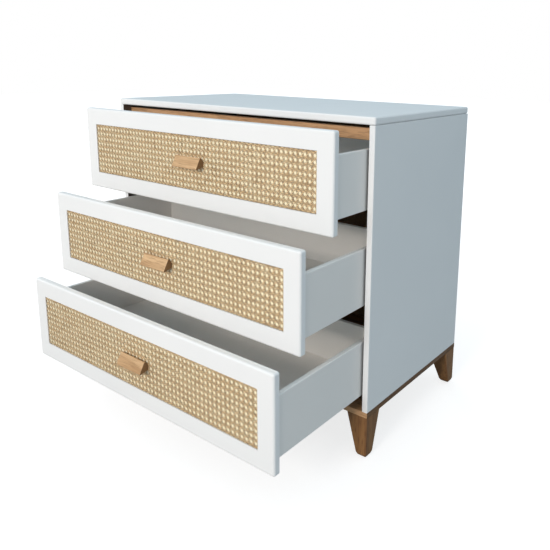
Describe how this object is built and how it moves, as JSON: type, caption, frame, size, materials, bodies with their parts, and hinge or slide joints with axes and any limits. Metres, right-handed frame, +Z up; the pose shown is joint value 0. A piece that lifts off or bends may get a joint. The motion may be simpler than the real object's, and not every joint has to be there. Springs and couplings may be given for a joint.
{
  "type": "chest of drawers",
  "caption": "Low chest of drawers with white lacquered boards, cane-webbing drawer fronts, oak bar pulls, oak base frame and tapered legs; drawers slide on telescopic runners.",
  "frame": {"origin": "on the floor, at the centre of the box round the chest with its drawers open as pictured", "axes": "+X to the right seen from the front, +Y from the drawer fronts to the back, +Z up"},
  "size_m": [0.9, 0.8045, 0.818],
  "materials": {
    "white_lacquer": "white satin lacquer on board",
    "oak": "oiled oak, satin",
    "cane": "natural open cane webbing",
    "white_melamine": "white melamine on board",
    "white_hardboard": "white faced thin board",
    "brown_hardboard": "plain brown hardboard",
    "galvanised_steel": "bright galvanised sheet"
  },
  "bodies": {
    "carcass": {"top_panel": "white_lacquer", "left_side_panel": "white_lacquer", "right_side_panel": "white_lacquer", "back_panel": "brown_hardboard", "bottom_panel": "brown_hardboard", "top_front_rail": "oak", "top_back_rail": "oak", "base_front_rail": "oak", "base_back_rail": "oak", "base_left_rail": "oak", "base_right_rail": "oak", "front_left_leg": "oak", "front_right_leg": "oak", "back_left_leg": "oak", "back_right_leg": "oak", "drawer1_left_cabinet_rail": "galvanised_steel", "drawer1_right_cabinet_rail": "galvanised_steel", "drawer2_left_cabinet_rail": "galvanised_steel", "drawer2_right_cabinet_rail": "galvanised_steel", "drawer3_left_cabinet_rail": "galvanised_steel", "drawer3_right_cabinet_rail": "galvanised_steel"},
    "drawer1": {"drawer1_front": "white_lacquer", "drawer1_cane": "cane", "drawer1_pull": "oak", "drawer1_left_side": "white_melamine", "drawer1_right_side": "white_melamine", "drawer1_back": "white_melamine", "drawer1_bottom": "white_hardboard", "drawer1_left_drawer_rail": "galvanised_steel", "drawer1_right_drawer_rail": "galvanised_steel"},
    "drawer1_runner_middle": {"drawer1_left_middle_rail": "galvanised_steel", "drawer1_right_middle_rail": "galvanised_steel"},
    "drawer2": {"drawer2_front": "white_lacquer", "drawer2_cane": "cane", "drawer2_pull": "oak", "drawer2_left_side": "white_melamine", "drawer2_right_side": "white_melamine", "drawer2_back": "white_melamine", "drawer2_bottom": "white_hardboard", "drawer2_left_drawer_rail": "galvanised_steel", "drawer2_right_drawer_rail": "galvanised_steel"},
    "drawer2_runner_middle": {"drawer2_left_middle_rail": "galvanised_steel", "drawer2_right_middle_rail": "galvanised_steel"},
    "drawer3": {"drawer3_front": "white_lacquer", "drawer3_cane": "cane", "drawer3_pull": "oak", "drawer3_left_side": "white_melamine", "drawer3_right_side": "white_melamine", "drawer3_back": "white_melamine", "drawer3_bottom": "white_hardboard", "drawer3_left_drawer_rail": "galvanised_steel", "drawer3_right_drawer_rail": "galvanised_steel"},
    "drawer3_runner_middle": {"drawer3_left_middle_rail": "galvanised_steel", "drawer3_right_middle_rail": "galvanised_steel"}
  },
  "joints": [
    {"name": "drawer1_slide", "type": "slide", "parent": "carcass", "child": "drawer1", "axis": [0, -1, 0], "range_m": [-0.123, 0.227]},
    {"name": "drawer1_runner_slide", "type": "slide", "parent": "carcass", "child": "drawer1_runner_middle", "axis": [0, -1, 0], "range_m": [-0.0615, 0.1135]},
    {"name": "drawer2_slide", "type": "slide", "parent": "carcass", "child": "drawer2", "axis": [0, -1, 0], "range_m": [-0.228, 0.122]},
    {"name": "drawer2_runner_slide", "type": "slide", "parent": "carcass", "child": "drawer2_runner_middle", "axis": [0, -1, 0], "range_m": [-0.114, 0.061]},
    {"name": "drawer3_slide", "type": "slide", "parent": "carcass", "child": "drawer3", "axis": [0, -1, 0], "range_m": [-0.307, 0.043]},
    {"name": "drawer3_runner_slide", "type": "slide", "parent": "carcass", "child": "drawer3_runner_middle", "axis": [0, -1, 0], "range_m": [-0.1535, 0.0215]}
  ],
  "couplings": [
    {"joint": "drawer1_runner_slide", "follows": "drawer1_slide", "ratio": 0.5},
    {"joint": "drawer2_runner_slide", "follows": "drawer2_slide", "ratio": 0.5},
    {"joint": "drawer3_runner_slide", "follows": "drawer3_slide", "ratio": 0.5}
  ]
}
